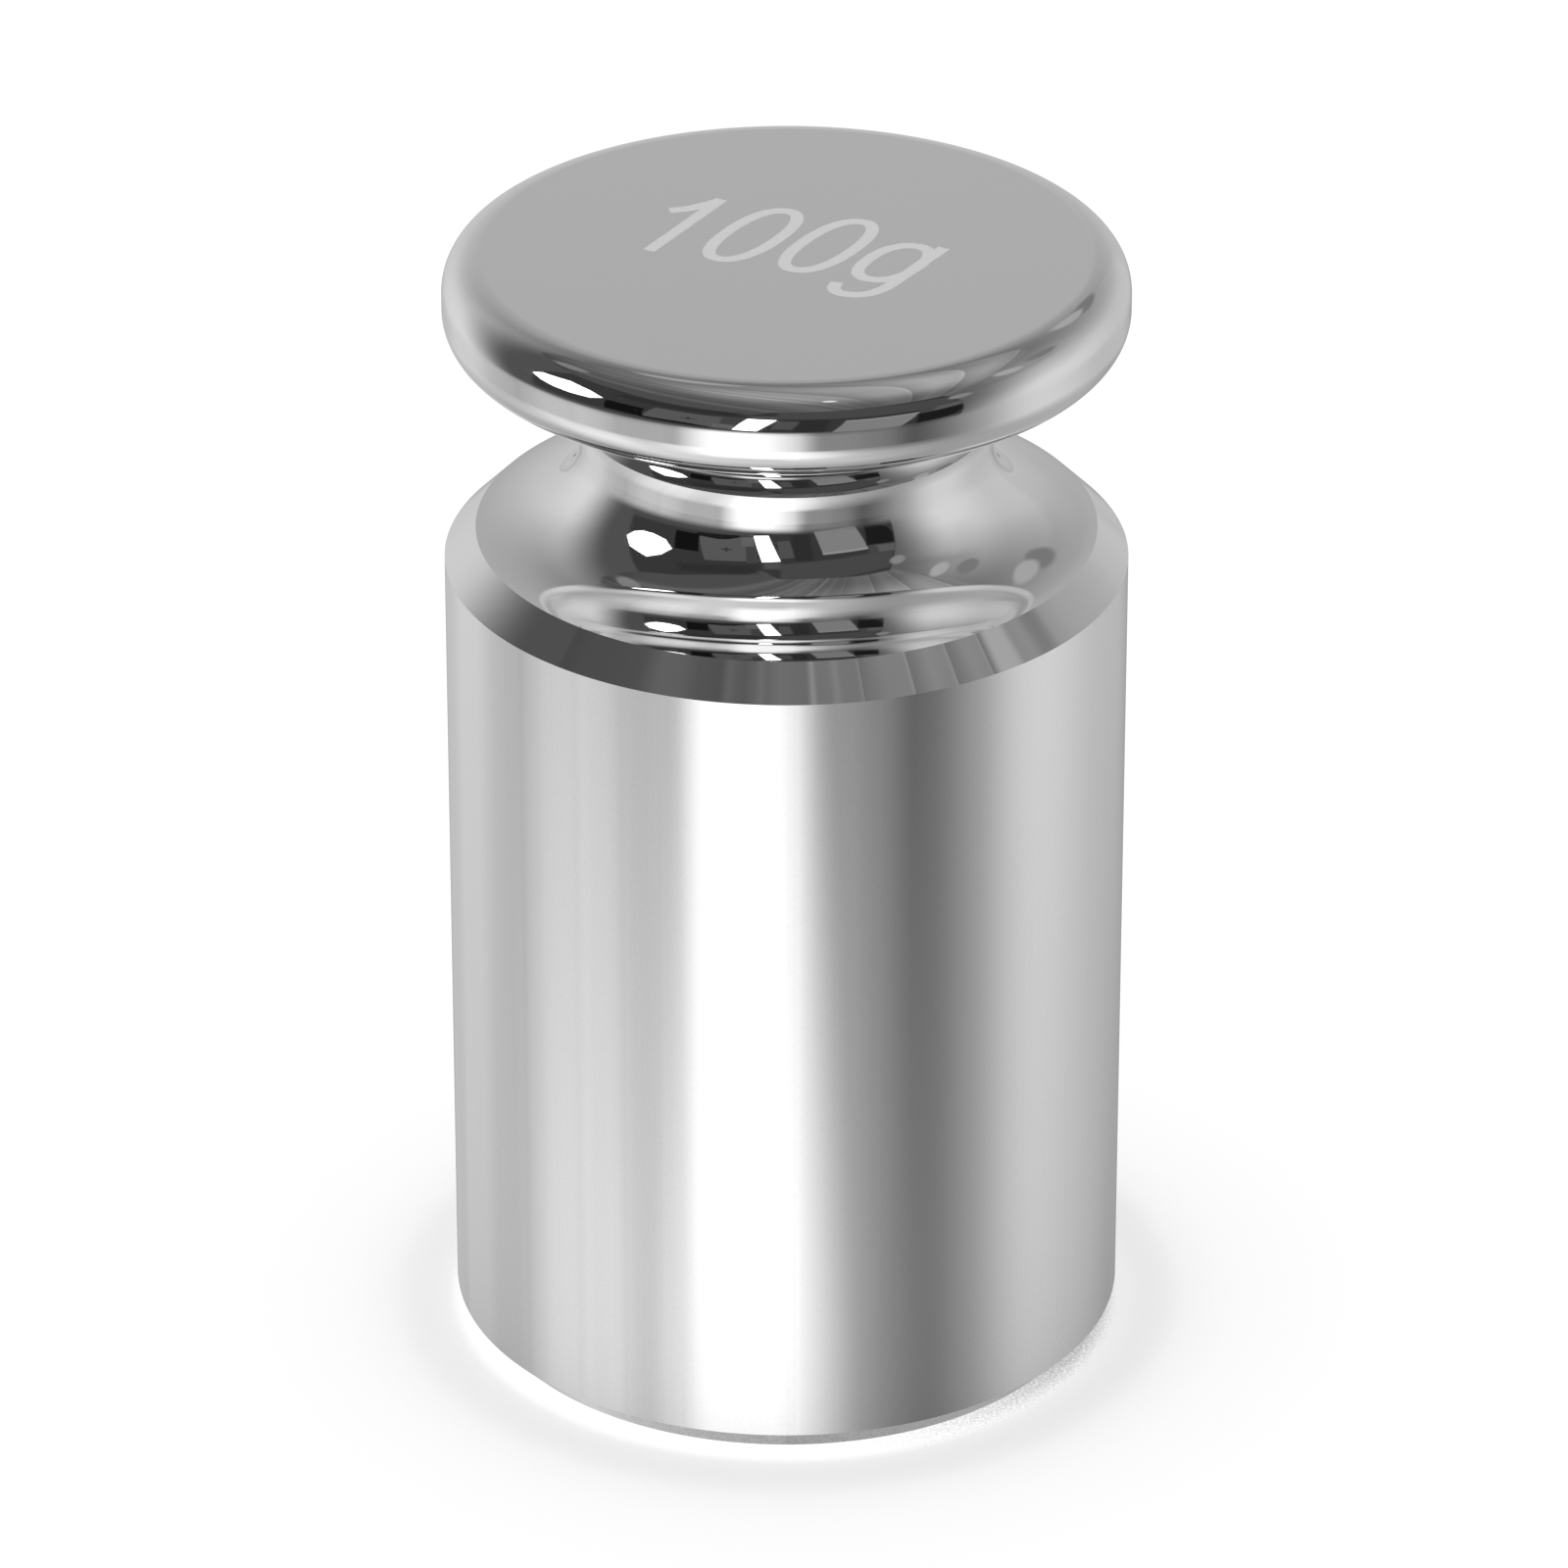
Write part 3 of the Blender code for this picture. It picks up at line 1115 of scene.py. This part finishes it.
@dataclass(frozen=True)
class Studio:
    """Everything round the weight that isn't part of it."""

    light: StudioLight = StudioLight()
    dome_radius: float = 6.0
    dome_fineness: int = 6
    centre_height: float = 0.02
    floor_size: float = 8.0
    floor_white: float = 1.04
    floor_fill: Stops = (
        (10.5, 0.16), (10.8, 0.34), (11.1, 0.52), (11.4, 0.48), (11.75, 0.40),
        (12.1, 0.35), (12.7, 0.37), (13.4, 0.56), (15.0, 0.70), (19.0, 0.80),
        (28.0, 1.0))
    ring_reach: float = 11.1
    ring_soft: float = 0.6
    ring_speckle: float = 1.3
    speckle_cells: float = 10500.0
    ring_light: Sweep = Sweep(-128, 43, 0, 40, 69)
    ring_shade: Sweep = Sweep(14, 92, 0, 36, 24)
    lamp_share: float = 0.05
    lamp_spread: float = math.radians(60.0)
    lamp_tilt: float = math.radians(48.0)
    lamp_turn: float = math.radians(-77.0)

    def dome_material(self) -> bpy.types.Material:
        """Return the dome's light, which only polished metal sees."""
        made, bench = new_material("studio_round_the_weight")
        made.cycles.emission_sampling = "NONE"
        x, y, z = bench.parts(bench.place())
        rise = (z - self.centre_height).math("ARCTAN2", distance(x, y))
        strength = self.light.strength(
            bearing(x, y), rise * math.degrees(1.0), bench)
        shader = bench.field("ShaderNodeEmission", {
            "Color": bench.neutral(strength), "Strength": 1.0})
        bench.node("ShaderNodeOutputMaterial", {"Surface": shader})
        return made

    def dome(self) -> bpy.types.Object:
        """Return the dome that carries the studio's light."""
        mesh = bmesh.new()
        bmesh.ops.create_icosphere(
            mesh, subdivisions=self.dome_fineness, radius=self.dome_radius)
        bmesh.ops.translate(mesh, verts=mesh.verts, vec=(0.0, 0.0, self.centre_height))
        made = linked("studio_dome", plain_mesh("studio_dome", mesh))
        made.data.materials.append(self.dome_material())
        for kind in ("camera", "diffuse", "transmission", "shadow", "volume_scatter"):
            setattr(made, f"visible_{kind}", False)
        return made

    def floor_material(self) -> bpy.types.Material:
        """Return the white floor, which keeps the weight's soft shadow.

        Returns:
            A material whose floor is whitest far from the weight and in the
            ring of light that the polished foot throws down in front.
        """
        made, bench = new_material("white_floor")
        x, y, _ = bench.parts(bench.place())
        radius = distance(x, y) * (1.0 / MM)
        azimuth = bearing(x, y)
        near = radius.edge(self.ring_reach, -self.ring_soft)
        speckle = bench.noise(self.speckle_cells, self.speckle_cells, detail=1.0)
        dim = near * self.ring_shade.mask(azimuth) * speckle * self.ring_speckle
        fill = bench.ramp(radius, self.floor_fill).towards(
            1.0, near * self.ring_light.mask(azimuth))
        paint = bench.field("ShaderNodeBsdfDiffuse", {"Color": grey(1.0)})
        white = bench.field("ShaderNodeEmission", {"Strength": self.floor_white})
        mixed = bench.field("ShaderNodeMixShader", {
            0: bench.shown() * (fill + dim).clamped(), 1: paint, 2: white})
        bench.node("ShaderNodeOutputMaterial", {"Surface": mixed})
        return made

    def floor(self) -> bpy.types.Object:
        """Return the floor that the weight stands on."""
        half = self.floor_size / 2
        corners = [(-half, -half, 0.0), (half, -half, 0.0),
                   (half, half, 0.0), (-half, half, 0.0)]
        data = bpy.data.meshes.new("studio_floor")
        data.from_pydata(corners, [], [(0, 1, 2, 3)])
        data.materials.append(self.floor_material())
        made = linked("studio_floor", data)
        made.visible_glossy = False
        return made

    def world(self) -> None:
        """Give the room its even light and its white background."""
        made = bpy.data.worlds.new("white_studio")
        bpy.context.scene.world = made
        made.use_nodes = True
        bench = Bench(made.node_tree)
        share = 1.0 - self.lamp_share
        shader = bench.field("ShaderNodeBackground", {
            "Color": grey(1.0), "Strength": bench.shown().scaled(1.0 - share, share)})
        bench.node("ShaderNodeOutputWorld", {"Surface": shader})

    def lamp(self) -> bpy.types.Object:
        """Return the soft lamp that throws the faint shadow to the right."""
        data = bpy.data.lights.new("soft_lamp", "SUN")
        data.angle = self.lamp_spread
        data.energy = self.lamp_share * math.pi / math.cos(self.lamp_tilt)
        made = linked("soft_lamp", data)
        level, rise = math.sin(self.lamp_tilt), math.cos(self.lamp_tilt)
        towards = Vector((math.sin(self.lamp_turn) * level,
                          -math.cos(self.lamp_turn) * level, rise))
        made.rotation_mode = "QUATERNION"
        made.rotation_quaternion = towards.to_track_quat("Z", "Y")
        made.visible_glossy = False
        return made

    def build(self) -> None:
        """Set up the whole studio."""
        for item in (self.floor(), self.dome(), self.lamp()):
            LOG.info("stage: %s", item.name)
        self.world()
        bpy.context.scene.view_settings.view_transform = "Standard"


@dataclass(frozen=True)
class PhotoCamera:
    """The camera of the photograph."""

    place: tuple[float, float, float] = (-0.000081, -0.27083, 0.15987)
    pitch: float = math.radians(62.521)
    lens: float = 215.0
    sensor: float = 36.0
    clip: Point = (0.01, 40.0)

    def build(self) -> bpy.types.Object:
        """Make it the scene's camera and return it."""
        data = bpy.data.cameras.new("photo_camera")
        data.sensor_fit = "HORIZONTAL"
        data.sensor_width = self.sensor
        data.lens = self.lens
        data.clip_start, data.clip_end = self.clip
        made = linked("photo_camera", data)
        made.location = self.place
        made.rotation_euler = (self.pitch, 0.0, 0.0)
        bpy.context.scene.camera = made
        return made


def main() -> None:
    """Build the camera, the studio and the weight."""
    logging.basicConfig(level=logging.INFO, format="%(name)s %(message)s")
    PhotoCamera().build()
    Studio().build()
    TurnedWeight().build()


if __name__ == "__main__":
    main()
